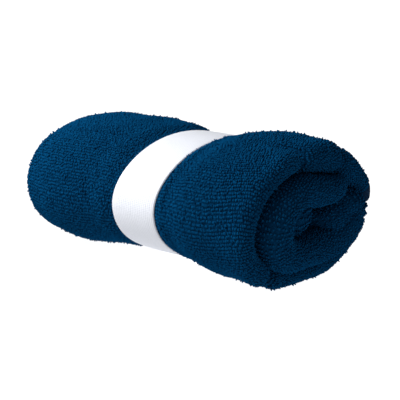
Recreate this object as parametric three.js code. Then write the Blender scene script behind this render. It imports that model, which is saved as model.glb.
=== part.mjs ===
// A quick-dry terry towel, folded in four, rolled up and held by a wide elastic loop.
//
// Frame: millimetres. X runs along the roll, +X towards the end with the single thick fold;
// Z is up and Z = 0 is the surface the roll lies on; Y = 0 is the middle of its width.
// The cloth is followed by two numbers: "along", the distance from the outer free end of the
// folded strip inwards along the spiral, and "out", the distance from the strip's middle
// surface towards the outside of the roll.

import * as THREE from "three";

// ---- driving dimensions, mm -------------------------------------------------------------
const ROLL_HALF_WIDTH = 61; // Y, over the middle of either bulge
const ROLL_HALF_HEIGHT = 40; // Z
const STRIP_WIDTH = 172; // X, the folded strip from edge to edge
const PLIES = 4;
const PLY = 3.5; // one layer of terry with its loops
const TURN_GAP = 1; // how much thinner the strip is than its share of the roll
const TURN_PITCH = 14.8; // from the middle of one turn to the middle of the next
const TELESCOPE = 8; // how far the inner turns stand out at the +X end
const REST_FLAT = 0.8; // how far the cloth flattens where it lies on the surface

const FREE_END_ANGLE = 20; // degrees above +Y, where the outer end of the strip stops
const WAIST_WIDTH = 0.895; // the section under the band, as a share of the full one
const WAIST_HEIGHT = 0.85;
const WAIST_SPREAD = 23; // X distance over which the cloth swells again
const END_SHRINK = 0.04; // how much narrower the section is at either end
const END_SHRINK_LENGTH = 26;

const BAND_X = 2; // centre of the elastic
const BAND_WIDTH = 32;
const BAND_THICKNESS = 1.1;
const BAND_GAP = 0.9;
const BAND_LAP = 14; // the sewn overlap of its two ends
const BAND_LAP_ANGLE = -8; // degrees from +Y, on the back
const BAND_REACH = 290; // how much of the spiral can touch the elastic
const BAND_SEGMENTS = 84;

const BINDING_WIDTH = 8; // edge tape
const LABEL_WIDTH = 24;
const LABEL_FROM = 330; // degrees inwards from the free end, at the label's loose edge
const LABEL_TO = 351;
const LABEL_THICKNESS = 0.6;
const LABEL_X = -48;
const THREAD = 0.4;
const THREAD_WIDTH = 1.6; // a row of stitches
const SEWN_GAP = 0.3; // between touching pieces
const END_GAP = 0.6; // between the cloth and the bindings of its two ends

const STRIP_THICKNESS = PLIES * PLY;
const SLAB_HALF = (STRIP_THICKNESS - TURN_GAP) / 2;
const AXIS_HEIGHT = ROLL_HALF_HEIGHT - REST_FLAT;
const NEAR_X = (STRIP_WIDTH - TELESCOPE) / 2;
const FAR_X = NEAR_X - STRIP_WIDTH;

const TURN_STEP = 5; // between sections of the rolled cloth
const CORE_STEP = 2.5;
const CORE_LENGTH = 110;

const RAD = Math.PI / 180;
const smooth = (t) => {
  const c = Math.min(Math.max(t, 0), 1);
  return c * c * (3 - 2 * c);
};

// ---- the spiral -------------------------------------------------------------------------
// Each turn is an ellipse one strip thickness inside the last. It steps inwards over the
// stretch where it has to pass under the turn outside it.
const OUTER_A = ROLL_HALF_WIDTH - SLAB_HALF;
const OUTER_B = ROLL_HALF_HEIGHT - SLAB_HALF;
const STEP_IN_FROM = 292; // degrees inwards from the free end
const STEP_IN_TO = 350;
const LAST_ARC = 600;

function turnPoint(degrees) {
  const steps = smooth((degrees - STEP_IN_FROM) / (STEP_IN_TO - STEP_IN_FROM));
  const angle = (FREE_END_ANGLE + degrees) * RAD;
  const inset = steps * TURN_PITCH;
  return new THREE.Vector2(
    (OUTER_A - inset) * Math.cos(angle),
    (OUTER_B - inset) * Math.sin(angle),
  );
}

// The core: the strip turns back on itself in a hairpin and ends in the middle.
const CORE = [
  [10, -17.8],
  [20, -17],
  [26.5, -13.2],
  [28, -8.4],
  [26.5, -3.6],
  [21, 0.2],
  [12, 1.1],
  [0, 0.9],
  [-12, 0.4],
  [-24, 0],
];

function spiralCurve() {
  const points = [];
  for (let d = 0; d <= LAST_ARC; d += 10) points.push(turnPoint(d));
  for (const [y, z] of CORE) points.push(new THREE.Vector2(y, z));
  const curve = new THREE.SplineCurve(points);
  curve.arcLengthDivisions = 2000;
  return curve;
}

const SPIRAL = spiralCurve();
const SPIRAL_LENGTH = SPIRAL.getLength();

// The place and outward direction of the strip's middle at a distance along the spiral.
function middle(along) {
  const t = Math.min(Math.max(along / SPIRAL_LENGTH, 0), 1);
  const place = SPIRAL.getPointAt(t);
  const run = SPIRAL.getTangentAt(t);
  return { place, outward: new THREE.Vector2(run.y, -run.x) };
}

// How far the strip is shifted towards +X at a distance along the spiral.
function shift(along) {
  return TELESCOPE * smooth((along - 250) / 90);
}

// ---- the waist and the ends -------------------------------------------------------------
function section(x) {
  const past = Math.max(Math.abs(x - BAND_X) - BAND_WIDTH / 2, 0);
  const pinch = Math.exp(-((past / WAIST_SPREAD) ** 2));
  const nearEnd = (x - (NEAR_X + TELESCOPE - END_SHRINK_LENGTH)) / END_SHRINK_LENGTH;
  const farEnd = (FAR_X + END_SHRINK_LENGTH - x) / END_SHRINK_LENGTH;
  const end = 1 - END_SHRINK * Math.max(nearEnd, farEnd, 0) ** 2;
  return {
    width: end * (1 - pinch * (1 - WAIST_WIDTH)),
    height: end * (1 - pinch * (1 - WAIST_HEIGHT)),
  };
}

// A point of the rolled cloth: x is measured on the strip before the turns are shifted.
function onRoll(x, along, out) {
  const { place, outward } = middle(along);
  const atX = x + shift(along);
  const size = section(atX);
  const y = size.width * (place.x + out * outward.x);
  const z = size.height * (place.y + out * outward.y);
  return [atX, y, Math.max(AXIS_HEIGHT + z, 0)];
}

// ---- mesh helpers -----------------------------------------------------------------------
// A closed solid from rings of points with the same count, capped flat at both ends.
function skin(rings, caps) {
  const count = rings[0].length;
  const position = new Float32Array(rings.flat(2));
  const index = [];
  for (let i = 0; i + 1 < rings.length; i++) {
    for (let j = 0; j < count; j++) {
      const a = i * count + j;
      const b = i * count + ((j + 1) % count);
      index.push(a, b, b + count, a, b + count, a + count);
    }
  }
  const last = (rings.length - 1) * count;
  for (const [a, b, c] of caps) {
    index.push(a, c, b);
    index.push(last + a, last + b, last + c);
  }
  return geometryOf(position, index);
}

function geometryOf(position, index) {
  const geometry = new THREE.BufferGeometry();
  geometry.setAttribute("position", new THREE.BufferAttribute(position, 3));
  geometry.setIndex(index);
  geometry.computeVertexNormals();
  return geometry;
}

// Fills an outline with triangles, cell by cell between the stations along X, so that the
// end faces of two pieces that meet there have the same shape.
function capOf(outline) {
  const indices = outline.map((_, i) => i);
  const pairs = STATIONS.map((x) => indices.filter((i) => outline[i][0] === x));
  const cuts = pairs.filter((pair) => pair.length === 2);
  const cells = [];
  if (cuts.length === 0) {
    cells.push(indices);
  } else {
    const [farLow, farHigh] = cuts[0];
    const [nearLow, nearHigh] = cuts[cuts.length - 1];
    cells.push([...indices.slice(farHigh), ...indices.slice(0, farLow + 1)]);
    cells.push(indices.slice(nearLow, nearHigh + 1));
    for (let i = 0; i + 1 < cuts.length; i++) {
      const [low, high] = cuts[i];
      const [nextLow, nextHigh] = cuts[i + 1];
      cells.push([low, nextLow, nextHigh, high]);
    }
  }
  return cells.flatMap((cell) => {
    const flat = cell.map((i) => new THREE.Vector2(...outline[i]));
    const triangles = THREE.ShapeUtils.triangulateShape(flat, []);
    return triangles.map((triangle) => triangle.map((i) => cell[i]));
  });
}

// Distances along the spiral, close together where the core bends tightly.
function stationsAlong(from, to) {
  const places = [];
  let along = from;
  while (along < to - CORE_STEP / 2) {
    places.push(along);
    along += along < SPIRAL_LENGTH - CORE_LENGTH ? TURN_STEP : CORE_STEP;
  }
  return [...places, to];
}

// Sweeps a closed (x, out) outline along the spiral. The outline runs counterclockwise.
function sweep(outline, from, to) {
  const places = stationsAlong(from, to);
  const rings = places.map((along) => outline.map(([x, out]) => onRoll(x, along, out)));
  return skin(rings, capOf(outline));
}

function arc(cx, cy, radius, from, to, steps) {
  const points = [];
  for (let i = 0; i <= steps; i++) {
    const angle = (from + ((to - from) * i) / steps) * RAD;
    points.push([cx + radius * Math.cos(angle), cy + radius * Math.sin(angle)]);
  }
  return points;
}

function pieceOf(name, geometry, colour, roughness) {
  const material = new THREE.MeshStandardMaterial({ color: colour, roughness, metalness: 0 });
  const mesh = new THREE.Mesh(geometry, material);
  mesh.name = name;
  return mesh;
}

// ---- the folded strip's outline ---------------------------------------------------------
// At +X all four plies turn in one thick fold. At -X the outer two plies are joined by a
// thin fold and the inner two end in bound edges.
const STATIONS = [-76, -50, -34, -23, -14, 18, 27, 38, 54, 70];
const THIN_FOLD = SLAB_HALF / 2;

function clothOutline() {
  const inner = STATIONS.map((x) => [x, -SLAB_HALF]);
  const outer = STATIONS.slice().reverse().map((x) => [x, SLAB_HALF]);
  const boundEdge = FAR_X + BINDING_WIDTH + SEWN_GAP;
  return [
    [boundEdge, -SLAB_HALF],
    ...inner,
    ...arc(NEAR_X - SLAB_HALF, 0, SLAB_HALF, -90, 90, 6),
    ...outer,
    ...arc(FAR_X + THIN_FOLD, THIN_FOLD, THIN_FOLD, 90, 270, 4),
    [boundEdge, 0],
  ];
}

function bindingOutline(ply) {
  const inside = -SLAB_HALF + ply * (THIN_FOLD + SEWN_GAP / 2);
  const outside = inside + THIN_FOLD - SEWN_GAP;
  const edge = FAR_X + BINDING_WIDTH;
  return [
    [FAR_X, inside],
    [edge, inside],
    [edge, outside],
    [FAR_X, outside],
  ];
}

function endOutline() {
  const inner = STATIONS.map((x) => [x, -SLAB_HALF]);
  const outer = STATIONS.slice().reverse().map((x) => [x, SLAB_HALF]);
  return [
    ...arc(FAR_X + THIN_FOLD, -THIN_FOLD, THIN_FOLD, 180, 270, 2),
    ...inner,
    ...arc(NEAR_X - SLAB_HALF, 0, SLAB_HALF, -90, 90, 6),
    ...outer,
    ...arc(FAR_X + THIN_FOLD, THIN_FOLD, THIN_FOLD, 90, 180, 2),
  ];
}

// ---- the elastic loop -------------------------------------------------------------------
// The elastic is pulled tight round the cloth, so it follows the outer turn and runs straight
// over the step beside the free end.
function bandLoop() {
  const onCloth = stationsAlong(0, BAND_REACH).map((along) => {
    const [, y, z] = onRoll(BAND_X - shift(along), along, SLAB_HALF);
    return new THREE.Vector3(0, y, z);
  });
  const curve = new THREE.CatmullRomCurve3(hullOf(onCloth), true);
  curve.arcLengthDivisions = 1000;
  return curve;
}

// The convex outline of points in the YZ plane, counterclockwise seen from +X.
function hullOf(points) {
  const sorted = points.slice().sort((a, b) => a.y - b.y || a.z - b.z);
  const turn = (a, b, c) => (b.y - a.y) * (c.z - a.z) - (b.z - a.z) * (c.y - a.y);
  const half = (list) => {
    const chain = [];
    for (const p of list) {
      while (chain.length > 1 && turn(chain.at(-2), chain.at(-1), p) <= 0) chain.pop();
      chain.push(p);
    }
    return chain.slice(0, -1);
  };
  return [...half(sorted), ...half(sorted.slice().reverse())];
}

const LOOP = bandLoop();
const LOOP_LENGTH = LOOP.getLength();
const LAP_AT = lapPlace();

// Where on the loop the middle of the lap is, as a distance along it.
function lapPlace() {
  const away = (distance) => {
    const { y, z } = LOOP.getPointAt(distance / LOOP_LENGTH);
    return Math.abs(Math.atan2(z - AXIS_HEIGHT, y) - BAND_LAP_ANGLE * RAD);
  };
  const places = Array.from({ length: Math.floor(LOOP_LENGTH) }, (_, i) => i);
  return places.reduce((best, place) => (away(place) < away(best) ? place : best));
}

// A point of the elastic at a distance round the loop from the middle of the lap.
function bandPoint(distance, out) {
  const t = (((LAP_AT + distance) / LOOP_LENGTH) % 1 + 1) % 1;
  const { y, z } = LOOP.getPointAt(t);
  const run = LOOP.getTangentAt(t);
  return [y + out * run.z, z - out * run.y];
}

function bandGeometry() {
  const low = BAND_X - BAND_WIDTH / 2;
  const high = BAND_X + BAND_WIDTH / 2;
  const position = [];
  const index = [];
  for (let i = 0; i < BAND_SEGMENTS; i++) {
    const distance = (LOOP_LENGTH * i) / BAND_SEGMENTS;
    const away = Math.min(distance, LOOP_LENGTH - distance);
    const thickness = away <= BAND_LAP / 2 ? 2 * BAND_THICKNESS : BAND_THICKNESS;
    const inside = bandPoint(distance, BAND_GAP);
    const outside = bandPoint(distance, BAND_GAP + thickness);
    position.push(low, ...inside, high, ...inside, high, ...outside, low, ...outside);
  }
  for (let i = 0; i < BAND_SEGMENTS; i++) {
    const a = 4 * i;
    const b = 4 * ((i + 1) % BAND_SEGMENTS);
    for (let j = 0; j < 4; j++) {
      const k = (j + 1) % 4;
      index.push(a + j, b + k, b + j, a + j, a + k, b + k);
    }
  }
  return geometryOf(new Float32Array(position), index);
}

// A thin strip laid on the band or the cloth: an outline of [y, z] points, swept along X.
function plateAlongX(profile, low, high) {
  const clockwise = THREE.ShapeUtils.isClockWise(profile.map((p) => new THREE.Vector2(...p)));
  const outline = clockwise ? profile.slice().reverse() : profile;
  const rings = [low, high].map((x) => outline.map(([y, z]) => [x, y, z]));
  return skin(rings, capOf(outline));
}

function seamProfile() {
  const start = 2 * BAND_THICKNESS + BAND_GAP + SEWN_GAP;
  const places = [-THREAD_WIDTH, 0, THREAD_WIDTH];
  const under = places.map((distance) => bandPoint(distance, start));
  const over = places.map((distance) => bandPoint(distance, start + THREAD)).reverse();
  return [...under, ...over];
}

// The care label hangs down the back of the roll from under the outer free end.
function labelProfile() {
  const size = section(LABEL_X);
  const at = (degrees, offset) => {
    const place = turnPoint(degrees);
    const run = turnPoint(degrees + 1).sub(place).normalize();
    const away = SLAB_HALF + offset;
    return [
      size.width * (place.x + away * run.y),
      AXIS_HEIGHT + size.height * (place.y - away * run.x),
    ];
  };
  const steps = [0, 0.2, 0.4, 0.6, 0.8, 1].map((t) => LABEL_FROM + t * (LABEL_TO - LABEL_FROM));
  const under = steps.map((d) => at(d, 2 * SEWN_GAP));
  const over = steps.reverse().map((d) => at(d, 2 * SEWN_GAP + LABEL_THICKNESS));
  return [...under, ...over];
}

// The row of stitches along the outer end binding, from one edge of the strip to the other.
function endThreadGeometry() {
  const low = SLAB_HALF + SEWN_GAP;
  const high = low + THREAD;
  const start = (BINDING_WIDTH - THREAD_WIDTH) / 2;
  const end = start + THREAD_WIDTH;
  const corners = [[low, start], [high, start], [high, end], [low, end]];
  const rings = STATIONS.map((x) => corners.map(([out, along]) => onRoll(x, along, out)));
  return skin(rings, capOf(corners));
}

// ---- assembly ---------------------------------------------------------------------------
const BLUE = 0x023560;
const DARK_BLUE = 0x022a4e;
const WHITE = 0xf2f4f8;
const THREAD_WHITE = 0xe2e6ec;
const LABEL_WHITE = 0xf6f6f4;

const clothFrom = BINDING_WIDTH + END_GAP;
const clothTo = SPIRAL_LENGTH - BINDING_WIDTH - END_GAP;

const towel = new THREE.Group();
towel.add(
  pieceOf("towel_cloth", sweep(clothOutline(), clothFrom, clothTo), BLUE, 1),
  pieceOf("first_side_binding", sweep(bindingOutline(0), clothFrom, clothTo), DARK_BLUE, 0.8),
  pieceOf("second_side_binding", sweep(bindingOutline(1), clothFrom, clothTo), DARK_BLUE, 0.8),
  pieceOf("outer_end_binding", sweep(endOutline(), 0, BINDING_WIDTH), DARK_BLUE, 0.8),
  pieceOf(
    "core_end_binding",
    sweep(endOutline(), SPIRAL_LENGTH - BINDING_WIDTH, SPIRAL_LENGTH),
    DARK_BLUE,
    0.8,
  ),
  pieceOf("end_binding_thread", endThreadGeometry(), BLUE, 0.7),
  pieceOf(
    "care_label",
    plateAlongX(labelProfile(), LABEL_X - LABEL_WIDTH / 2, LABEL_X + LABEL_WIDTH / 2),
    LABEL_WHITE,
    0.5,
  ),
);

const band = new THREE.Group();
band.add(
  pieceOf("elastic_band", bandGeometry(), WHITE, 0.6),
  pieceOf(
    "band_seam_thread",
    plateAlongX(seamProfile(), BAND_X - BAND_WIDTH / 2 + 2, BAND_X + BAND_WIDTH / 2 - 2),
    THREAD_WHITE,
    0.6,
  ),
);
towel.add(band);

// The origin is under the middle of the whole roll's box.
const box = new THREE.Box3().setFromObject(towel);
towel.position.set(-(box.min.x + box.max.x) / 2, -(box.min.y + box.max.y) / 2, -box.min.z);

export default towel;
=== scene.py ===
"""The looks of a quick-dry terry towel, folded in four, rolled up and held by a wide elastic.

The cloth is one sheet, followed by two numbers: s, the distance along the spiral from the
outer free end of the folded strip, and a path across the strip that runs through its four
plies. The terry's loops are small closed kernels that stand on the cloth in rows.
"""

import itertools
import math

import bmesh
import bpy
import numpy as np
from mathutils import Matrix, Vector


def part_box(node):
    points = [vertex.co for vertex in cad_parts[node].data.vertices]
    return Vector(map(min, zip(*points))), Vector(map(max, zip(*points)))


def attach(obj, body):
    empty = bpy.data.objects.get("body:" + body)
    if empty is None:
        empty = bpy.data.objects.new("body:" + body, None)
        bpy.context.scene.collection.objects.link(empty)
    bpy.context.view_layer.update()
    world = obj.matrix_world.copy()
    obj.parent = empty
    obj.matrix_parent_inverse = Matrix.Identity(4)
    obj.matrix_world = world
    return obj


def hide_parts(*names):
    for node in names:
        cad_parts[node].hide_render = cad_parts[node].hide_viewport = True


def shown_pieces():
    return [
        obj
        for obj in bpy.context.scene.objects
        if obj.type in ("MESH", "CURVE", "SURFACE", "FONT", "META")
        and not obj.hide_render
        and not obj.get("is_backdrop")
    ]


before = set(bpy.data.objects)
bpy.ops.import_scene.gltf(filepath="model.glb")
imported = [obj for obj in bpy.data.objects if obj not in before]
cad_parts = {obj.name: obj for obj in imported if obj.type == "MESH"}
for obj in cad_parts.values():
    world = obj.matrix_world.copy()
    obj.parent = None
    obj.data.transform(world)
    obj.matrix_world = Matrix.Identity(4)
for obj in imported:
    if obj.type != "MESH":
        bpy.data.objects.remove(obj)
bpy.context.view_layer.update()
MM = 0.001
rng = np.random.default_rng(41)

# ---- dimensions shared with the CAD source, mm ------------------------------------------
SLAB = 6.5  # half the folded strip's thickness
OUTER_A, OUTER_B = 54.5, 33.5  # the outer turn's middle surface
PITCH = 14.8  # from one turn to the next
STEP_FROM, STEP_TO = 292, 350  # degrees of the spiral over which it steps in by one pitch
ARC_END = 600  # degrees of the spiral where the core begins
AXIS_Z = 39.2  # the roll's axis above the floor
NEAR_X, FAR_X = 82.0, -90.0
FOLD_X = NEAR_X - SLAB  # where the thick near fold begins
TELESCOPE = 8.0  # how far the inner turns are pushed along the roll
FREE_ANGLE = 20.0  # where the free end lies round the roll, in degrees
BAND_X, BAND_WIDTH, BAND_THICK, BAND_GAP = 2.0, 32.0, 1.1, 0.9
BINDING = 8.0  # the tapes' width
PLY_PITCH, PLY_THICK = 3.25, 2.7
AXIS_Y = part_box("towel_cloth")[0][1] / MM + 61.0  # the roll's axis in the row frame
CORE = [(10, -17.8), (20, -17), (26.5, -13.2), (28, -8.4), (26.5, -3.6),
        (21, 0.2), (12, 1.1), (0, 0.9), (-12, 0.4), (-24, 0)]
CORE_STEP = 20.0  # degrees counted from one core point to the next
FLOOR_GAP = 0.35  # the ground cloth stays this far off the floor


def smooth(t):
    c = np.clip(t, 0, 1)
    return c * c * (3 - 2 * c)


def lerp(a, b, t):
    return a + (b - a) * t


# ---- the spiral, at mid roll and at the near end ----------------------------------------
def hermite(knots, values, at):
    """A smooth curve through values at uneven knots."""
    knots, values = np.asarray(knots, float), np.asarray(values, float)
    slope = np.gradient(values, knots, axis=0)
    i = np.clip(np.searchsorted(knots, at, side="right") - 1, 0, len(knots) - 2)
    h = knots[i + 1] - knots[i]
    t = np.clip((at - knots[i]) / h, 0, 1)
    if values.ndim > 1:
        t, h = t[..., None], h[..., None]
    return ((2 * t**3 - 3 * t**2 + 1) * values[i] + (t**3 - 2 * t**2 + t) * h * slope[i]
            + (3 * t**2 - 2 * t**3) * values[i + 1] + (t**3 - t**2) * h * slope[i + 1])


def turn_point(q):
    """The strip's middle at q degrees from its free end: two flat turns joined by a step."""
    inwards = smooth((q - STEP_FROM) / (STEP_TO - STEP_FROM)) * PITCH
    angle = np.radians(FREE_ANGLE + q)
    return np.stack([(OUTER_A - inwards) * np.cos(angle), (OUTER_B - inwards) * np.sin(angle)], -1)


ARC_Q = np.arange(0, ARC_END + 1, 10.0)
MID_POINTS = np.concatenate([turn_point(ARC_Q), np.array(CORE, float)])
MID_Q = np.concatenate([ARC_Q, ARC_END + CORE_STEP * np.arange(1, len(CORE) + 1)])
MID_COUNT = np.arange(len(MID_Q))
Q_FINE = np.linspace(0, MID_Q[-1], 4001)
FINE = hermite(MID_COUNT, MID_POINTS, np.interp(Q_FINE, MID_Q, MID_COUNT))
S_FINE = np.concatenate([[0], np.cumsum(np.linalg.norm(np.diff(FINE, axis=0), axis=1))])
LENGTH = S_FINE[-1]

# How the near end's thick fold lies: q, y, z, half thickness, and the x that it reaches.
NEAR_END = np.array([
    (0, 59.2, -4.4, 4.4, 82.5),
    (10, 56.2, 3.8, 6.0, 84),
    (22, 48.2, 11.6, 7.4, 84),
    (38, 36.4, 19.8, 8.2, 85),
    (55, 21.2, 27.2, 8.9, 85.5),
    (75, 2.4, 30.8, 8.4, 85.5),
    (93, -15.0, 31.2, 6.6, 84),
    (110, -27.4, 27.0, 6.2, 82.5),
    (128, -39.4, 19.8, 6.2, 81.5),
    (150, -49.6, 8.2, 6.2, 81.5),
    (170, -53.2, -3.0, 6.2, 81.5),
    (190, -50.4, -13.5, 6.2, 81.5),
    (210, -40.0, -23.8, 6.2, 81),
    (228, -27.0, -30.2, 5.6, 80),
    (245, -12.0, -33.4, 5.0, 80),
    (262, 4.0, -34.0, 4.8, 81.5),
    (285, 22.8, -32.4, 4.6, 82),
    (305, 39.0, -27.0, 4.8, 82),
    (322, 52.6, -18.6, 5.0, 82),
    (333, 57.0, -12.0, 5.2, 81),
    (345, 56.0, -5.0, 4.4, 78),
    (357, 50.0, 0.6, 4.3, 73),
    (370, 43.6, 5.4, 4.6, 74),
    (388, 34.5, 9.0, 4.4, 76),
    (405, 26.0, 10.6, 5.6, 87),
    (420, 15.5, 10.8, 7.6, 90),
    (433, 5.0, 12.0, 8.8, 90),
    (447, -6.0, 14.0, 9.2, 90),
    (462, -16.0, 13.6, 9.4, 90),
    (480, -25.5, 9.2, 10.2, 90),
    (500, -31.0, 2.4, 10.8, 90),
    (520, -32.0, -6.0, 10.8, 89.5),
    (545, -28.0, -14.5, 9.8, 89),
    (570, -19.5, -19.6, 9.6, 89),
    (595, -8.0, -20.6, 8.8, 88),
    (615, 4.0, -21.4, 9.2, 87.5),
    (640, 20.0, -20.4, 10.0, 88),
    (658, 32.5, -17.2, 9.8, 88.5),
    (672, 41.0, -11.8, 9.2, 88.5),
    (686, 45.0, -6.2, 8.6, 88.5),
    (700, 41.8, -2.4, 8.6, 88),
    (714, 33.0, -3.0, 9.2, 87.5),
    (728, 24.0, -6.4, 9.4, 87.5),
    (742, 16.0, -10.4, 8.0, 84),
    (756, 5.5, -13.4, 6.0, 66),
    (766, -4.5, -12.4, 6.0, 68),
    (775, -10.4, -6.4, 7.4, 84),
    (786, -12.2, 6.0, 8.8, 87),
    (800, -13.5, 14.0, 7.2, 70),
])


def q_of(s):
    return np.interp(s, S_FINE, Q_FINE)


def s_of(q):
    return np.interp(q, Q_FINE, S_FINE)


def near_of(s):
    return hermite(NEAR_END[:, 0], NEAR_END[:, 1:], q_of(s))


def mid_of(s):
    return np.stack([np.interp(s, S_FINE, FINE[:, 0]), np.interp(s, S_FINE, FINE[:, 1])], -1)


def outward_of(line_of, s, step=1.2):
    """The outward direction of a line in y and z, at distance s along the spiral."""
    lo, hi = np.clip(s - step, 0, LENGTH), np.clip(s + step, 0, LENGTH)
    run = line_of(hi)[..., :2] - line_of(lo)[..., :2]
    run /= np.maximum(np.linalg.norm(run, axis=-1, keepdims=True), 1e-9)
    return np.stack([run[..., 1], -run[..., 0]], -1)


# ---- the roll's form along its axis -----------------------------------------------------
WAIST_NARROWER, WAIST_LOWER = 0.105, 0.15  # what the elastic takes off the width and height
WAIST_NEAR, WAIST_FAR = 20.0, 23.0  # how far the waist runs past the elastic's edges
END_EASE, END_FROM, END_RUN = 0.04, 64, 26  # how the two ends draw in


def section(x):
    """The roll's width and height at x, as shares of the fullest section."""
    past = np.maximum(np.abs(x - BAND_X) - BAND_WIDTH / 2, 0)
    pinch = np.exp(-((past / np.where(x > BAND_X, WAIST_NEAR, WAIST_FAR)) ** 2))
    end = 1 - END_EASE * np.maximum((np.abs(x) - END_FROM) / END_RUN, 0) ** 2
    return end * (1 - pinch * WAIST_NARROWER), end * (1 - pinch * WAIST_LOWER)


def lumps(x, s):
    """Slow undulations of the cloth, in mm."""
    a = np.sin(x / 11.3 + s / 17.1 + 0.4) * np.sin(x / 19.7 - s / 23.9 + 1.3)
    b = np.sin(x / 6.1 - s / 9.7 + 2.1) * np.sin(x / 14.2 + s / 12.3)
    return 0.75 * a + 0.35 * b


def puff(x):
    """How far the cloth swells out beside the elastic's two edges, in mm."""
    past = np.abs(x - BAND_X)
    return np.where(x > BAND_X, 1.8 * np.exp(-((past - 20.5) / 4.0) ** 2),
                    2.0 * np.exp(-((past - 23.5) / 7.5) ** 2))


# Creases of the near end: q, x, depth in mm, spread along s and along x, and the fold's retreat.
PINCHES = [
    (88, 82, 4.6, 2.9, 12, 5.2),
    (50, 84, 1.4, 3.4, 10, 2.2),
    (222, 79, 4.0, 3.2, 12, 6.0),
]


def pinch_depth(x, s):
    """How deep the creases cut in, in mm."""
    total = np.zeros_like(x)
    for at_q, at_x, depth, spread_s, spread_x, _ in PINCHES:
        total += depth * np.exp(-((s - s_of(at_q)) / spread_s) ** 2 - ((x - at_x) / spread_x) ** 2)
    return total


def fold_retreat(x, s):
    """How far the creases pull the near fold back, in mm."""
    total = np.zeros_like(x)
    for at_q, _, _, spread_s, _, retreat in PINCHES:
        total += retreat * np.exp(-((s - s_of(at_q)) / spread_s) ** 2)
    return total * smooth((x - 58) / 20)


def along_roll(x, s, near):
    """Where the flat strip's x lies on the roll. A thicker near fold has a rounder nose."""
    to_fold = smooth((x - 30) / 45)
    shift = lerp(TELESCOPE * smooth((s - 250) / 90), near[..., 3] - NEAR_X, to_fold)
    rounder = 6.2 * (np.maximum(near[..., 2] / SLAB, 0.5) ** 0.9 - 1)
    nose = np.clip((x - FOLD_X) / 6.2, 0, 1)
    return x + shift - fold_retreat(x, s) + rounder * (nose - to_fold)


def mid_cloth(x, out, s):
    """y and z from the axis on the even spiral, with its waist and its sloping far half."""
    width, height = section(x)
    yz = (mid_of(s) + out[..., None] * outward_of(mid_of, s)) * np.stack([width, height], -1)
    far = smooth((-26 - x) / 30)
    tail = np.clip((-52 - x) / 38, 0, 1) ** 2
    top = smooth(yz[..., 1] / 16 + 0.5)
    waist = np.exp(-((np.maximum(np.abs(x - BAND_X) - 15, 0) / 8.0) ** 2))
    yz[..., 1] *= 1 - 0.06 * waist * top
    yz[..., 1] *= 1 - (0.055 * far + 0.06 * tail) * top
    yz[..., 0] *= 1 - 0.085 * tail
    return yz


def near_cloth(near, out, s):
    """y and z from the axis at the near end, where the folds have their own thickness."""
    swell = (near[..., 2] / SLAB)[..., None]
    return near[..., :2] + out[..., None] * swell * outward_of(near_of, s)


def place_cloth(x, out, s):
    """Points of the cloth in the row frame, mm: x on the flat strip, out from its middle."""
    x, out, s = np.broadcast_arrays(*(np.asarray(v, float) for v in (x, out, s)))
    near = near_of(s)
    at_x = along_roll(x, s, near)
    blend_from = lerp(18.0, 52.0, smooth(s / 55))
    blend = smooth((at_x - blend_from) / (NEAR_X - blend_from))[..., None]
    yz = lerp(mid_cloth(at_x, out, s), near_cloth(near, out, s), blend)
    away = lerp(outward_of(mid_of, s), outward_of(near_of, s), blend)
    rise = lumps(at_x, s) * smooth((s - 2) / 10) - pinch_depth(at_x, s) + puff(at_x)
    off_band = smooth((np.abs(at_x - BAND_X) - 12) / 14)
    yz = yz + away * (rise * np.clip(out / SLAB + 0.35, 0, 1) * off_band)[..., None]
    return np.stack([at_x, AXIS_Y + yz[..., 0], np.maximum(AXIS_Z + yz[..., 1], FLOOR_GAP)], -1)


# ---- meshes -----------------------------------------------------------------------------
def mesh_piece(name, points_mm, faces, material, smooth_shade=True):
    """A mesh object from points in mm and an array of faces with equal corner counts."""
    points = np.asarray(points_mm, np.float64).reshape(-1, 3) * MM
    faces = np.asarray(faces, np.int32)
    mesh = bpy.data.meshes.new(name)
    mesh.vertices.add(len(points))
    mesh.vertices.foreach_set("co", points.astype(np.float32).ravel())
    corners = faces.shape[1]
    mesh.loops.add(faces.size)
    mesh.loops.foreach_set("vertex_index", faces.ravel())
    mesh.polygons.add(len(faces))
    mesh.polygons.foreach_set("loop_start", np.arange(0, faces.size, corners, dtype=np.int32))
    mesh.polygons.foreach_set("use_smooth", np.full(len(faces), smooth_shade))
    mesh.update(calc_edges=True)
    mesh.validate()
    piece = bpy.data.objects.new(name, mesh)
    bpy.context.scene.collection.objects.link(piece)
    if material:
        mesh.materials.append(material)
    return piece


def tube_faces(rings, count):
    """Quads between rings of count points each; the points close on themselves."""
    i, j = np.meshgrid(np.arange(rings - 1), np.arange(count), indexing="ij")
    a, b = i * count + j, i * count + (j + 1) % count
    return np.stack([a, b, b + count, a + count], -1).reshape(-1, 4)


def thick_path(path, thick):
    """The closed outline round an open 2D path, with rounded ends."""
    path = np.asarray(path, float)
    run = np.gradient(path, axis=0)
    run /= np.linalg.norm(run, axis=1, keepdims=True)
    left = np.stack([-run[:, 1], run[:, 0]], 1)
    a = np.radians([60, 30, 0, -30, -60])[:, None]
    half = thick / 2
    end = path[-1] + half * (np.cos(a) * run[-1] + np.sin(a) * left[-1])
    start = path[0] + half * (-np.cos(a) * run[0] - np.sin(a) * left[0])
    return np.concatenate([path + half * left, end, (path - half * left)[::-1], start])


def arc(cx, cy, radius, start, end, steps):
    a = np.radians(np.linspace(start, end, steps + 1))
    return np.stack([cx + radius * np.cos(a), cy + radius * np.sin(a)], -1)


def spaced(start, end, step):
    return np.linspace(start, end, max(int(round(abs(end - start) / step)), 1) + 1)


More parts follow.
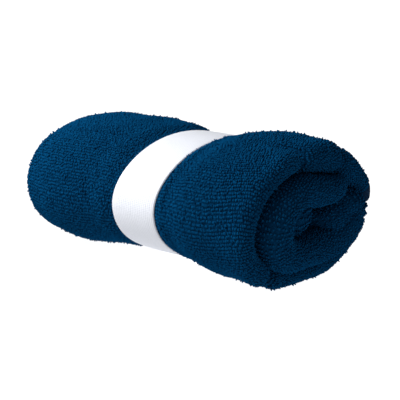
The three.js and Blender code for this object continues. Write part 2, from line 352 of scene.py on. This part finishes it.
def sweep_piece(name, path, thick, stations, material):
    """A strip of cloth: a 2D path across the folded strip, swept along the spiral."""
    outline = thick_path(path, thick)
    inner = thick_path(path, thick * 0.55)
    flat = thick_path(path, 1e-6)
    first, last = stations[0], stations[-1]
    rings = [(flat, first), (inner, first + 0.05), (outline, first + thick * 0.4)]
    rings += [(outline, s) for s in stations[1:-1]]
    rings += [(outline, last - thick * 0.4), (inner, last - 0.05), (flat, last)]
    grid = np.stack([np.concatenate([o, np.full((len(o), 1), s)], 1) for o, s in rings])
    points = place_cloth(grid[..., 0], grid[..., 1], grid[..., 2])
    piece = mesh_piece(name, points, tube_faces(len(rings), len(outline)), material)
    return welded(piece)


def welded(piece, distance=2e-6):
    """Merges coinciding points and turns the faces outwards."""
    bm = bmesh.new()
    bm.from_mesh(piece.data)
    bmesh.ops.remove_doubles(bm, verts=bm.verts, dist=distance)
    bmesh.ops.dissolve_degenerate(bm, edges=bm.edges, dist=1e-7)
    bmesh.ops.recalc_face_normals(bm, faces=bm.faces)
    if bm.calc_volume(signed=True) < 0:
        bmesh.ops.reverse_faces(bm, faces=bm.faces)
    bm.to_mesh(piece.data)
    bm.free()
    for polygon in piece.data.polygons:
        polygon.use_smooth = True
    return piece


# ---- materials --------------------------------------------------------------------------
def material(name, roughness, sheen=0.0, specular=0.5):
    m = bpy.data.materials.new(name)
    m.use_nodes = True
    shader = m.node_tree.nodes["Principled BSDF"]
    shader.inputs["Roughness"].default_value = roughness
    shader.inputs["Sheen Weight"].default_value = sheen
    shader.inputs["Sheen Roughness"].default_value = 0.45
    shader.inputs["Specular IOR Level"].default_value = specular
    return m, m.node_tree, shader


def node(tree, kind, inputs=None, **settings):
    made = tree.nodes.new(kind)
    for key, value in settings.items():
        setattr(made, key, value)
    for key, value in (inputs or {}).items():
        made.inputs[key].default_value = value
    return made


def ramp(tree, source, stops):
    made = tree.nodes.new("ShaderNodeValToRGB")
    while len(made.color_ramp.elements) < len(stops):
        made.color_ramp.elements.new(0.5)
    for element, (at, colour) in zip(made.color_ramp.elements, stops):
        element.position = at
        element.color = (*colour, 1)
    tree.links.new(source, made.inputs["Fac"])
    return made


def noise(tree, coordinates, scale, detail=2.0, roughness=0.5):
    made = node(tree, "ShaderNodeTexNoise", {"Scale": scale, "Detail": detail, "Roughness": roughness})
    tree.links.new(coordinates, made.inputs["Vector"])
    return made


def add_bump(tree, shader, height, strength, distance):
    bump = node(tree, "ShaderNodeBump", {"Strength": strength, "Distance": distance})
    tree.links.new(height, bump.inputs["Height"])
    tree.links.new(bump.outputs["Normal"], shader.inputs["Normal"])


def object_coordinates(tree):
    return node(tree, "ShaderNodeTexCoord").outputs["Object"]


TERRY_DARK = (0.0006, 0.021, 0.060)
TERRY_MID = (0.0009, 0.034, 0.095)
TERRY_LIGHT = (0.0013, 0.054, 0.142)


def terry_loops_material():
    """The kernels: colour that differs per loop, painted shade from dark root to lit tip, fine fibres."""
    m, tree, shader = material("terry_loops", 0.9, sheen=0.0, specular=0.0)
    at = object_coordinates(tree)
    # The attribute holds each loop's random colour plus its painted root shade.
    tone_and_root_shade = node(tree, "ShaderNodeAttribute", attribute_name="loop_tone")
    patches = noise(tree, at, 45.0, 3.0)
    blend = node(tree, "ShaderNodeMix", {"Factor": 0.3}, data_type="FLOAT")
    tree.links.new(tone_and_root_shade.outputs["Fac"], blend.inputs["A"])
    tree.links.new(patches.outputs["Fac"], blend.inputs["B"])
    colour = ramp(tree, blend.outputs["Result"],
                  [(0.0, TERRY_DARK), (0.5, TERRY_MID), (1.0, TERRY_LIGHT)])
    tree.links.new(colour.outputs["Color"], shader.inputs["Base Color"])
    fibres = noise(tree, at, 2600.0, 2.0)
    add_bump(tree, shader, fibres.outputs["Fac"], 0.5, 0.0002)
    return m


def terry_ground_material():
    """The ground weave between loops, painted dark as their shade: a close grid with slow patches."""
    m, tree, shader = material("terry_ground", 0.95, sheen=0.0, specular=0.0)
    at = object_coordinates(tree)
    grains = node(tree, "ShaderNodeTexVoronoi", {"Scale": 850.0})
    tree.links.new(at, grains.inputs["Vector"])
    # Painted shade between the loops: mostly the loops' darkest colour, lighter at each grain's middle.
    colour = ramp(tree, grains.outputs["Distance"],
                  [(0.0, TERRY_MID), (0.45, TERRY_DARK), (1.0, TERRY_DARK)])
    tree.links.new(colour.outputs["Color"], shader.inputs["Base Color"])
    add_bump(tree, shader, grains.outputs["Distance"], 0.8, 0.0005)
    return m


def tape_material(name, dark, light, rows, specular=0.05):
    """A close woven tape: fine ribs one way and threads the other."""
    m, tree, shader = material(name, 0.85, sheen=0.0, specular=specular)
    at = object_coordinates(tree)
    ribs = node(tree, "ShaderNodeTexWave", {"Scale": rows, "Distortion": 0.6, "Detail": 1.0},
                bands_direction="X")
    threads = node(tree, "ShaderNodeTexWave", {"Scale": rows * 1.4, "Distortion": 0.6, "Detail": 1.0},
                   bands_direction="DIAGONAL")
    both = node(tree, "ShaderNodeMath", operation="MULTIPLY")
    for wave, socket in ((ribs, 0), (threads, 1)):
        tree.links.new(at, wave.inputs["Vector"])
        tree.links.new(wave.outputs["Fac"], both.inputs[socket])
    colour = ramp(tree, both.outputs["Value"], [(0.0, dark), (0.8, light)])
    tree.links.new(colour.outputs["Color"], shader.inputs["Base Color"])
    add_bump(tree, shader, both.outputs["Value"], 0.6, 0.0002)
    return m


def elastic_material():
    """White knitted elastic: fine cross threads over the ribs, with painted shade greying the grooves."""
    m, tree, shader = material("elastic_knit", 0.62, sheen=0.15, specular=0.3)
    at = object_coordinates(tree)
    along = node(tree, "ShaderNodeAttribute", attribute_name="round")
    knit = node(tree, "ShaderNodeMath", {1: 2 * math.pi / 0.9}, operation="MULTIPLY")
    tree.links.new(along.outputs["Fac"], knit.inputs[0])
    wave = node(tree, "ShaderNodeMath", operation="SINE")
    tree.links.new(knit.outputs["Value"], wave.inputs[0])
    # Painted shade: greyer down in the grooves between the ribs, lighter on their tops.
    groove_shade = node(tree, "ShaderNodeAttribute", attribute_name="groove_shade")
    fuzz = noise(tree, at, 900.0, 3.0)
    height = node(tree, "ShaderNodeMath", {1: 0.35}, operation="MULTIPLY_ADD")
    tree.links.new(wave.outputs["Value"], height.inputs[0])
    tree.links.new(fuzz.outputs["Fac"], height.inputs[2])
    mixed = node(tree, "ShaderNodeMix", {"Factor": 0.35}, data_type="FLOAT")
    tree.links.new(groove_shade.outputs["Fac"], mixed.inputs["A"])
    tree.links.new(fuzz.outputs["Fac"], mixed.inputs["B"])
    colour = ramp(tree, mixed.outputs["Result"],
                  [(0.0, (0.40, 0.41, 0.45)), (0.5, (0.54, 0.555, 0.60)), (1.0, (0.60, 0.615, 0.66))])
    tree.links.new(colour.outputs["Color"], shader.inputs["Base Color"])
    add_bump(tree, shader, height.outputs["Value"], 0.35, 0.0002)
    return m


def thread_material(name, dark, light):
    m, tree, shader = material(name, 0.5, sheen=0.1, specular=0.4)
    twist = node(tree, "ShaderNodeTexWave", {"Scale": 900.0, "Distortion": 1.0}, bands_direction="DIAGONAL")
    tree.links.new(object_coordinates(tree), twist.inputs["Vector"])
    colour = ramp(tree, twist.outputs["Fac"], [(0.0, dark), (1.0, light)])
    tree.links.new(colour.outputs["Color"], shader.inputs["Base Color"])
    add_bump(tree, shader, twist.outputs["Fac"], 0.5, 0.0001)
    return m


LOOPS = terry_loops_material()
GROUND = terry_ground_material()
# The navy tape is painted darker than the terry, as shade in the hole and at the free end.
TAPE_DARKENED_AS_SHADE = tape_material("binding_tape_painted_shade", (0.0003, 0.009, 0.028), (0.0006, 0.02, 0.06), 420.0)
LABEL = tape_material("label_satin", (0.62, 0.63, 0.62), (0.76, 0.77, 0.75), 520.0, 0.3)
ELASTIC = elastic_material()
BLUE_THREAD = thread_material("blue_thread", (0.0006, 0.02, 0.06), (0.0015, 0.045, 0.12))
WHITE_THREAD = thread_material("white_thread", (0.5, 0.52, 0.56), (0.72, 0.74, 0.78))

# ---- the folded cloth -------------------------------------------------------------------
PLIES = [PLY_PITCH * k for k in (1.5, 0.5, -0.5, -1.5)]
SKIN = PLIES[0] + PLY_THICK / 2  # the strip's outside, from its middle
FAR_FOLD_X = FAR_X + (PLY_PITCH + PLY_THICK) / 2
EDGE_X = FAR_X + 2.4  # the free edges of the inner two plies, inside their bindings
XS = np.concatenate([spaced(FAR_FOLD_X, 44, 4.6), spaced(44, FOLD_X, 2.2)[1:]])
XS_EDGE = XS.copy()
XS_EDGE[0] = EDGE_X


def ply_row(xs, out):
    return np.stack([xs, np.full(len(xs), out)], -1)


def across_path():
    """The sheet's middle line across the folded strip, from one side edge to the other."""
    return np.concatenate([
        ply_row(XS_EDGE, PLIES[2]),
        arc(FOLD_X, 0, PLY_PITCH / 2, -90, 90, 6)[1:-1],
        ply_row(XS[::-1], PLIES[1]),
        arc(FAR_FOLD_X, PLY_PITCH, PLY_PITCH / 2, 270, 90, 6)[1:-1],
        ply_row(XS, PLIES[0]),
        arc(FOLD_X, 0, PLIES[0], 90, -90, 14)[1:-1],
        ply_row(XS_EDGE[::-1], PLIES[3]),
    ])


across = across_path()
cloth = sweep_piece("rolled_towel", across, PLY_THICK, spaced(0.8, LENGTH - 0.8, 3.0), GROUND)

# ---- the terry's loops ------------------------------------------------------------------
ROW_PITCH, LOOP_PITCH = 1.68, 1.14  # from row to row along the spiral, and along a row
INNER_FROM = 338  # degrees of the spiral from which only the ends of the roll are seen
SEEN_NEAR, SEEN_FAR = 60, -80  # the x where those ends begin
STRAY_SHARE = 0.08  # loops that stand out taller and thinner
NUDGE = 0.3  # the step that finds directions on the cloth
KERNEL_LIFT = 0.32  # how far a kernel's middle stands off its foot, as a share of its size
PIECE_LOOPS = 9900  # the most loops in one piece


def loop_line():
    """Points along the strip's outside, with the direction that loops stand in there."""
    far_middle, near_middle = (FAR_FOLD_X, PLY_PITCH), (FOLD_X, 0)
    far_radius = (PLY_PITCH + PLY_THICK) / 2
    far = arc(*far_middle, far_radius, 262, 92, 200)
    top = ply_row(spaced(FAR_FOLD_X, FOLD_X, 0.1), SKIN)
    near = arc(*near_middle, SKIN, 90, -90, 400)
    under = ply_row(spaced(FOLD_X, 56, 0.1), -SKIN)
    line = np.concatenate([far, top, near, under])
    stand = np.concatenate([
        (far - far_middle) / far_radius, np.tile((0.0, 1.0), (len(top), 1)),
        (near - near_middle) / SKIN, np.tile((0.0, -1.0), (len(under), 1)),
    ])
    keep = np.concatenate([[True], np.linalg.norm(np.diff(line, axis=0), axis=1) > 1e-6])
    return line[keep], stand[keep]


LINE, STAND = loop_line()
ALONG_LINE = np.concatenate([[0], np.cumsum(np.linalg.norm(np.diff(LINE, axis=0), axis=1))])


def on_line(p):
    def pick(values):
        return np.stack([np.interp(p, ALONG_LINE, values[:, k]) for k in (0, 1)], -1)
    return pick(LINE), pick(STAND)


def scatter_loops():
    """Loops in rows: p round the strip's outside, s along the spiral, the place and its stand."""
    ps, ss = [], []
    count = int(ALONG_LINE[-1] / LOOP_PITCH)
    for k, s in enumerate(np.arange(BINDING + 1.2, LENGTH - BINDING - 1.2, ROW_PITCH)):
        p = (np.arange(count) + 0.5 * (k % 2) + rng.uniform(-0.3, 0.3, count)) * LOOP_PITCH
        ps.append(p)
        ss.append(s + rng.uniform(-1, 1, count) * lerp(0.42, 0.3, smooth((p - 60) / 70)))
    ps, ss = np.concatenate(ps), np.concatenate(ss)
    at, stand = on_line(ps)
    seen = (q_of(ss) <= INNER_FROM) | (at[:, 0] > SEEN_NEAR) | (at[:, 0] < SEEN_FAR)
    return ps[seen], ss[seen], at[seen], stand[seen]


def unit(vectors):
    return vectors / np.maximum(np.linalg.norm(vectors, axis=1, keepdims=True), 1e-6)


def loop_frames(ps, ss, at, stand):
    """Each loop's foot, and its directions along the row, across the rows and up."""
    foot = place_cloth(at[:, 0], at[:, 1], ss)
    beside, _ = on_line(ps + NUDGE)
    row = unit(place_cloth(beside[:, 0], beside[:, 1], ss) - foot)
    up = unit(np.cross(place_cloth(at[:, 0], at[:, 1], ss + NUDGE) - foot, row))
    above = at + NUDGE * stand
    lifted = place_cloth(above[:, 0], above[:, 1], ss) - foot
    up *= np.sign((up * lifted).sum(1, keepdims=True))
    return foot, row, np.cross(up, row), up


def loop_shapes(foot):
    """Random sizes and leans. Loops lie flatter under the elastic and on the floor."""
    count = len(foot)
    pressed = 1 - smooth((np.abs(foot[:, 0] - BAND_X) - 14.2) / 2.2)
    on_floor = smooth((1.6 - foot[:, 2]) / 1.2)
    flatness = np.maximum(pressed, on_floor)
    stray = rng.random(count) < STRAY_SHARE
    tall = np.where(stray, rng.uniform(1.4, 2.1, count), rng.uniform(0.75, 1.2, count))
    fineness = smooth((foot[:, 0] + 40) / 80)
    size = np.stack([
        rng.uniform(0.58, 0.70, count),
        rng.uniform(0.76, 0.94, count) * lerp(1.06, 1.0, fineness),
        lerp(0.66, 0.74, fineness) * tall * lerp(1.0, 0.42, flatness),
    ], -1)
    size[:, :2] *= np.where(stray, 0.78, 1.0)[:, None]
    lean = rng.normal(0, 0.24, (count, 2)) * lerp(1.0, 0.5, flatness)[:, None]
    return size, lean


def icosahedron():
    """Twelve corners at distance 1 from the middle, and twenty faces that look outwards."""
    golden = (1 + 5 ** 0.5) / 2
    ends = [(a, b * golden) for a in (-1, 1) for b in (-1, 1)]
    corners = np.array([(0, a, b) for a, b in ends] + [(a, b, 0) for a, b in ends]
                       + [(b, 0, a) for a, b in ends], float)
    corners /= np.linalg.norm(corners[0])
    faces = []
    for i, j, k in itertools.combinations(range(len(corners)), 3):
        ij, ik, jk = corners[j] - corners[i], corners[k] - corners[i], corners[k] - corners[j]
        if max(np.linalg.norm(side) for side in (ij, ik, jk)) < 1.1:
            outward = np.dot(np.cross(ij, ik), corners[i]) > 0
            faces.append((i, j, k) if outward else (i, k, j))
    return corners, np.array(faces)


CORNERS, FACES = icosahedron()


def kernel_points(foot, row, across_rows, up, size, lean):
    """The corners of every kernel, leaning over and clear of the floor."""
    local = CORNERS[None] * size[:, None, :]
    rise = local[..., 2] + KERNEL_LIFT * size[:, None, 2]
    a = local[..., 0] + lean[:, None, 0] * rise
    b = local[..., 1] + lean[:, None, 1] * rise
    points = (foot[:, None] + a[..., None] * row[:, None] + b[..., None] * across_rows[:, None]
              + rise[..., None] * up[:, None])
    points[..., 2] = np.maximum(points[..., 2], 0.05)
    return points


def pile_piece(name, kernels, tone_and_root_shade):
    """One mesh of closed kernels: each loop's colour and painted root shade, and its own bake-layer cell.
    """
    count = len(kernels)
    faces = (FACES[None] + len(CORNERS) * np.arange(count)[:, None, None]).reshape(-1, 3)
    piece = mesh_piece(name, kernels.reshape(-1, 3), faces, LOOPS)
    # The loop_tone attribute holds each loop's random colour plus painted shade at its root.
    shade = piece.data.attributes.new("loop_tone", "FLOAT", "POINT")
    shade.data.foreach_set("value", np.clip(tone_and_root_shade, 0, 1).astype(np.float32).ravel())
    side = int(math.ceil(math.sqrt(count)))
    cell = np.arange(count)
    corner_uv = CORNERS[None, :, :2] * 0.42 + 0.5
    flat_uv = (corner_uv + np.stack([cell % side, cell // side], -1)[:, None]) / side
    uv = piece.data.uv_layers.new(name="OFBake")
    uv.data.foreach_set("uv", flat_uv.reshape(-1, 2)[faces.ravel()].astype(np.float32).ravel())
    return piece


def terry_pile():
    ps, ss, at, stand = scatter_loops()
    frames = loop_frames(ps, ss, at, stand)
    size, lean = loop_shapes(frames[0])
    kernels = kernel_points(*frames, size, lean)
    loop_tone = np.clip(0.5 + 0.13 * rng.normal(size=len(ps)), 0, 1)
    # Painted shade: each kernel darker at its root and lighter at its tip.
    tone_and_root_shade = loop_tone[:, None] + 0.18 * CORNERS[None, :, 2]
    order = np.argsort(ss, kind="stable")
    parts = [order[start:start + PIECE_LOOPS] for start in range(0, len(ps), PIECE_LOOPS)]
    return [pile_piece(f"terry_pile_{k + 1}", kernels[part], tone_and_root_shade[part])
            for k, part in enumerate(parts)]


pile = terry_pile()


# ---- bindings ---------------------------------------------------------------------------
def tape_path(ply, wide=BINDING):
    """The folded tape round one free edge, in the strip's (x, out) plane."""
    half, bend = PLY_THICK / 2 + 0.05, FAR_X + PLY_THICK / 2 + 0.3
    return np.concatenate([
        ply_row(spaced(FAR_X + wide, bend, 1.6), PLIES[ply] + half)[:-1],
        arc(bend, PLIES[ply], half, 90, 270, 6),
        ply_row(spaced(bend, FAR_X + wide, 1.6), PLIES[ply] - half)[1:],
    ])


TAPE_THICK = 0.42
END_THICK = PLY_THICK + 0.5  # a ply with tape round it
STATIONS = spaced(BINDING + 0.4, LENGTH - BINDING - 0.4, 3.0)
side_bindings = [sweep_piece(name, tape_path(ply), TAPE_THICK, STATIONS, TAPE_DARKENED_AS_SHADE)
                 for name, ply in (("side_binding_inner", 3), ("side_binding_outer", 2))]
outer_end = sweep_piece("end_binding_outer", across, END_THICK, spaced(-0.2, BINDING, 2.0), TAPE_DARKENED_AS_SHADE)
core_end = sweep_piece("end_binding_core", across, END_THICK,
                       spaced(LENGTH - BINDING, LENGTH, 2.0), TAPE_DARKENED_AS_SHADE)


# ---- stitches ---------------------------------------------------------------------------
def tube_along(centre, radius, sides=6):
    """Rings of points round a 3D line."""
    centre = np.asarray(centre, float)
    run = np.gradient(centre, axis=0)
    run /= np.linalg.norm(run, axis=1, keepdims=True)
    side = np.cross(run, (0.31, 0.27, 0.91))
    side /= np.linalg.norm(side, axis=1, keepdims=True)
    other = np.cross(run, side)
    a = np.linspace(0, 2 * np.pi, sides, endpoint=False)
    radius = np.broadcast_to(radius, (len(centre),))[:, None, None]
    return centre[:, None] + radius * (np.cos(a)[None, :, None] * side[:, None]
                                       + np.sin(a)[None, :, None] * other[:, None])


def thread_piece(name, lines, radius, thread):
    """Several lengths of thread as one mesh, each with pointed ends."""
    points, faces, offset = [], [], 0
    for centre in lines:
        taper = np.full(len(centre), radius)
        taper[[0, -1]] = radius * 0.05
        rings = tube_along(centre, taper)
        points.append(rings.reshape(-1, 3))
        faces.append(tube_faces(len(rings), rings.shape[1]) + offset)
        for base in (0, (len(rings) - 1) * rings.shape[1]):
            corner = offset + base + np.arange(rings.shape[1])
            faces.append(np.array([corner[[0, 1, 2, 3]], corner[[0, 3, 4, 5]]]))
        offset += rings.shape[0] * rings.shape[1]
    return welded(mesh_piece(name, np.concatenate(points), np.concatenate(faces), thread))


STITCH, STITCH_GAP = 2.5, 0.9
STITCH_S = 5.2  # the row's distance from the free end


def stitch_lines():
    """A row of short raised stitches along the outer end's tape."""
    t = np.linspace(0, 1, 7)
    above = SKIN + 0.28 + 0.3 * np.sin(np.pi * t) ** 0.5
    return [place_cloth(x + STITCH * t, above, STITCH_S)
            for x in np.arange(FAR_X + 6, FOLD_X - 2, STITCH + STITCH_GAP)]


end_stitches = thread_piece("end_binding_stitches", stitch_lines(), 0.24, BLUE_THREAD)


# ---- the elastic ------------------------------------------------------------------------
def hull_of(points):
    """The convex outline of 2D points, counterclockwise."""
    ordered = sorted(map(tuple, points))

    def half(items):
        chain = []
        for p in items:
            while len(chain) > 1 and ((chain[-1][0] - chain[-2][0]) * (p[1] - chain[-2][1])
                                      - (chain[-1][1] - chain[-2][1]) * (p[0] - chain[-2][0])) <= 0:
                chain.pop()
            chain.append(p)
        return chain[:-1]

    return np.array(half(ordered) + half(ordered[::-1]))


def closed_line(points, step):
    """Even points along a closed outline, eased, with their outward directions."""
    ring = np.concatenate([points, points[:1]])
    gone = np.concatenate([[0], np.cumsum(np.linalg.norm(np.diff(ring, axis=0), axis=1))])
    count = int(gone[-1] / step)
    even = np.arange(count) * gone[-1] / count
    place = np.stack([np.interp(even, gone, ring[:, k]) for k in (0, 1)], -1)
    for _ in range(6):
        place = 0.5 * place + 0.25 * (np.roll(place, 1, 0) + np.roll(place, -1, 0))
    run = np.roll(place, -1, 0) - np.roll(place, 1, 0)
    run /= np.linalg.norm(run, axis=1, keepdims=True)
    return place, np.stack([run[:, 1], -run[:, 0]], -1)


LAP = 14.0  # how far the elastic's two ends overlap
LAP_ANGLE = -8.0  # where they do, in degrees from the back's middle


def ring_at_band():
    """The line that the stretched elastic follows, from the middle of its overlap."""
    touching = np.linspace(0, 290, 400)
    shifted = TELESCOPE * smooth((touching - 250) / 90)
    outline = place_cloth(BAND_X - shifted, SLAB, touching)[:, 1:]
    line, out = closed_line(hull_of(outline), 1.0)
    from_axis = np.degrees(np.arctan2(line[:, 1] - AXIS_Z, line[:, 0] - AXIS_Y))
    first = int(np.argmin(np.abs(from_axis - LAP_ANGLE)))
    return np.roll(line, -first, 0), np.roll(out, -first, 0)


RING, RING_OUT = ring_at_band()
RING_STEP = np.linalg.norm(np.diff(RING, axis=0), axis=1).mean()


def round_ring(distance):
    """The place and outward direction at a distance round the ring from its first point."""
    i = (np.asarray(distance, float) / RING_STEP) % len(RING)
    low = np.floor(i).astype(int) % len(RING)
    t = (i - np.floor(i))[..., None]
    high = (low + 1) % len(RING)
    return lerp(RING[low], RING[high], t), lerp(RING_OUT[low], RING_OUT[high], t)


RIBS = 23
RIB_HEIGHT = 0.17


def band_section():
    """The elastic's cross-section: x, height, and rib height for painted shade; ribbed face first."""
    half = BAND_WIDTH / 2
    x = np.linspace(-half, half, 6 * RIBS + 1)
    edge = smooth((half - np.abs(x)) / 1.0) ** 0.5
    rib = 0.5 - 0.5 * np.cos(2 * np.pi * RIBS * (x / BAND_WIDTH + 0.5))
    ribbed = 0.45 + (BAND_THICK - 0.45 - RIB_HEIGHT) * edge + RIB_HEIGHT * rib * edge
    under_x = np.linspace(half - 0.2, -half + 0.2, 12)
    return (np.concatenate([x, under_x]),
            np.concatenate([ribbed, np.full(len(under_x), 0.02)]),
            np.concatenate([0.25 + 0.75 * rib, np.full(len(under_x), 0.4)]))


def fill_ends(piece):
    bm = bmesh.new()
    bm.from_mesh(piece.data)
    bmesh.ops.holes_fill(bm, edges=[e for e in bm.edges if e.is_boundary], sides=0)
    bmesh.ops.recalc_face_normals(bm, faces=bm.faces)
    bm.to_mesh(piece.data)
    bm.free()


def elastic_piece():
    """One ribbed strip that goes once round the roll and laps over its own start."""
    x, section_height, groove_shade = band_section()
    length = RING_STEP * len(RING)
    at_round = spaced(-LAP / 2, length + LAP / 2, 1.5)
    raised = (BAND_THICK + 0.06) * smooth((at_round - (length - LAP / 2 - 5)) / 4.5)
    place, away = round_ring(at_round)
    edges_in = -0.45 * (np.abs(x) / (BAND_WIDTH / 2)) ** 4
    wander = 0.25 * np.sin(at_round / 23.0) + 0.15 * np.sin(at_round / 9.1 + 1.0)
    wander = wander + 2.0 * smooth((place[:, 1] - AXIS_Z) / 34)
    height = BAND_GAP + raised[:, None] + (section_height + edges_in)[None, :]
    yz = place[:, None] + height[..., None] * away[:, None]
    points = np.concatenate([(BAND_X + x[None, :] + wander[:, None])[..., None], yz], -1)
    piece = mesh_piece("elastic_band_knit", points, tube_faces(len(at_round), len(x)), ELASTIC)
    # One attribute paints shade into the grooves; the other counts the distance round.
    for name, values in (("groove_shade", groove_shade), ("round", at_round[:, None])):
        attribute = piece.data.attributes.new(name, "FLOAT", "POINT")
        values = np.broadcast_to(values, points.shape[:2])
        attribute.data.foreach_set("value", np.ascontiguousarray(values, np.float32).ravel())
    fill_ends(piece)
    return piece


ZIGZAGS = 14  # each 2 mm wide


def seam_line():
    """The zigzag thread over the elastic's overlap, from one edge to the other."""
    turn = np.arange(2 * ZIGZAGS + 1)
    fine = np.linspace(0, turn[-1], 6 * turn[-1] + 1)
    x = np.interp(fine, turn, BAND_X - BAND_WIDTH / 2 + 2 + turn)
    place, away = round_ring(np.interp(fine, turn, 1.5 * (1 - 2 * (turn % 2))))
    arch = 2 * BAND_THICK + BAND_GAP + 0.12 + 0.22 * np.abs(np.sin(np.pi * fine)) ** 0.6
    return np.concatenate([x[:, None], place + arch[:, None] * away], -1)


band = elastic_piece()
seam = thread_piece("band_seam_zigzag", [seam_line()], 0.26, WHITE_THREAD)


# ---- the care label ---------------------------------------------------------------------
LABEL_FROM, LABEL_TO = 329, 353  # degrees of the spiral
LABEL_THICK = 0.3


def grid_faces(g):
    return np.stack([g[:-1, :-1], g[1:, :-1], g[1:, 1:], g[:-1, 1:]], -1).reshape(-1, 4)


def label_piece():
    """A thin blank label with curling ends that stands a little off the cloth."""
    q = np.linspace(LABEL_FROM, LABEL_TO, 14)
    curl = 0.9 * ((q - (LABEL_FROM + LABEL_TO) / 2) / 12) ** 2
    x, s = np.meshgrid(np.linspace(-60, -36, 21), s_of(q), indexing="ij")
    lift = SLAB + 0.95 + curl[None, :] + 0.25 * np.sin(x / 4.2)
    faces_at = [place_cloth(x - TELESCOPE, lift + thick, s).reshape(-1, 3) for thick in (LABEL_THICK, 0)]
    grid = np.arange(x.size).reshape(x.shape)
    rim = np.concatenate([grid[:, 0], grid[-1, 1:], grid[::-1, -1][1:], grid[0, ::-1][1:-1]])
    after = np.roll(rim, -1)
    wall = np.stack([rim, after, after + x.size, rim + x.size], -1)
    faces = np.concatenate([grid_faces(grid), grid_faces(grid)[:, ::-1] + x.size, wall])
    return welded(mesh_piece("care_label_satin", np.concatenate(faces_at), faces, LABEL))


label = label_piece()

# ---- what each piece stands for ---------------------------------------------------------
for piece, nodes, slot in [
    (cloth, ("towel_cloth",), "terry_blue"),
    (side_bindings[0], ("first_side_binding",), "binding_blue"),
    (side_bindings[1], ("second_side_binding",), "binding_blue"),
    (outer_end, ("outer_end_binding",), "binding_blue"),
    (core_end, ("core_end_binding",), "binding_blue"),
    (end_stitches, ("end_binding_thread",), "thread_blue"),
    (label, ("care_label",), "label_white"),
]:
    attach(piece, "towel")
    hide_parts(*nodes)
for piece in pile:
    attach(piece, "towel")
for piece, nodes, slot in [
    (band, ("elastic_band",), "elastic_white"),
    (seam, ("band_seam_thread",), "thread_white"),
]:
    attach(piece, "band")
    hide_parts(*nodes)


# ---- floor, light and camera ------------------------------------------------------------
def floor_material():
    m, tree, shader = material("studio_floor", 0.9, specular=0.1)
    grain = noise(tree, object_coordinates(tree), 3.0, 2.0)
    colour = ramp(tree, grain.outputs["Fac"], [(0.0, (0.86, 0.86, 0.86)), (1.0, (0.88, 0.88, 0.88))])
    tree.links.new(colour.outputs["Color"], shader.inputs["Base Color"])
    return m


FLOOR = 9000  # half its side
floor = mesh_piece("studio_floor",
                   [(-FLOOR, -FLOOR, 0), (FLOOR, -FLOOR, 0), (FLOOR, FLOOR, 0), (-FLOOR, FLOOR, 0)],
                   [(0, 1, 2, 3)], floor_material(), smooth_shade=False)
floor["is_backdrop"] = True

scene = bpy.context.scene
scene.view_settings.view_transform = "Standard"
scene.view_settings.look = "None"
world = bpy.data.worlds.new("studio")
world.use_nodes = True
world.node_tree.nodes["Background"].inputs["Color"].default_value = (0.98, 0.99, 1.0, 1)
world.node_tree.nodes["Background"].inputs["Strength"].default_value = 0.2
scene.world = world

# The object's lights don't reach the floor, and the floor has a sun of its own that casts no shadow.
on_object = bpy.data.collections.new("lit_object")
on_floor_only = bpy.data.collections.new("lit_floor")
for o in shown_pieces():
    on_object.objects.link(o)
on_floor_only.objects.link(floor)

AZIMUTH, ELEVATION = math.radians(40.5), math.radians(14.3)  # where the camera stands
DISTANCE = 0.563
LENS, SENSOR = 85.653, 36.0
AIM_RIGHT, AIM_DOWN = 0.000887, 0.005738  # from the roll's middle to the picture's middle
focus = Vector((BAND_X * MM, AXIS_Y * MM, AXIS_Z * MM))
towards = Vector((math.sin(AZIMUTH), -math.cos(AZIMUTH), 0))
right = Vector((math.cos(AZIMUTH), math.sin(AZIMUTH), 0))
up_z = Vector((0, 0, 1))
back = math.cos(ELEVATION) * towards + math.sin(ELEVATION) * up_z
above = back.cross(right)


def area_light(name, direction, distance, size, power):
    """A round light that looks at the roll's middle and lights the object alone."""
    light = bpy.data.lights.new(name, "AREA")
    light.shape = "DISK"
    light.size = size
    light.energy = power
    o = bpy.data.objects.new(name, light)
    scene.collection.objects.link(o)
    o.location = focus + direction.normalized() * distance
    o.rotation_mode = "QUATERNION"
    o.rotation_quaternion = (-direction).to_track_quat("-Z", "Y")
    o.light_linking.receiver_collection = on_object


def floor_sun():
    sun = bpy.data.lights.new("floor_light", "SUN")
    sun.energy = 3.6
    sun.angle = 0.5
    o = bpy.data.objects.new("floor_light", sun)
    scene.collection.objects.link(o)
    o.light_linking.receiver_collection = on_floor_only
    o.light_linking.blocker_collection = on_floor_only


def place_camera():
    camera = bpy.data.cameras.new("camera")
    camera.sensor_width = SENSOR
    camera.lens = LENS
    o = bpy.data.objects.new("camera", camera)
    scene.collection.objects.link(o)
    aim = focus + right * AIM_RIGHT - above * AIM_DOWN
    o.location = focus + back * DISTANCE
    o.rotation_mode = "QUATERNION"
    o.rotation_quaternion = (aim - o.location).to_track_quat("-Z", "Y")
    scene.camera = o


area_light("key", -0.88 * right + 0.12 * towards + 1.0 * up_z, 0.5, 0.36, 4.8)
area_light("side", -1.0 * right + 0.45 * towards + 0.12 * up_z, 0.9, 0.7, 2.1)
area_light("fill", 0.9 * right + 0.5 * towards + 0.7 * up_z, 1.8, 1.4, 0.9)
floor_sun()
place_camera()
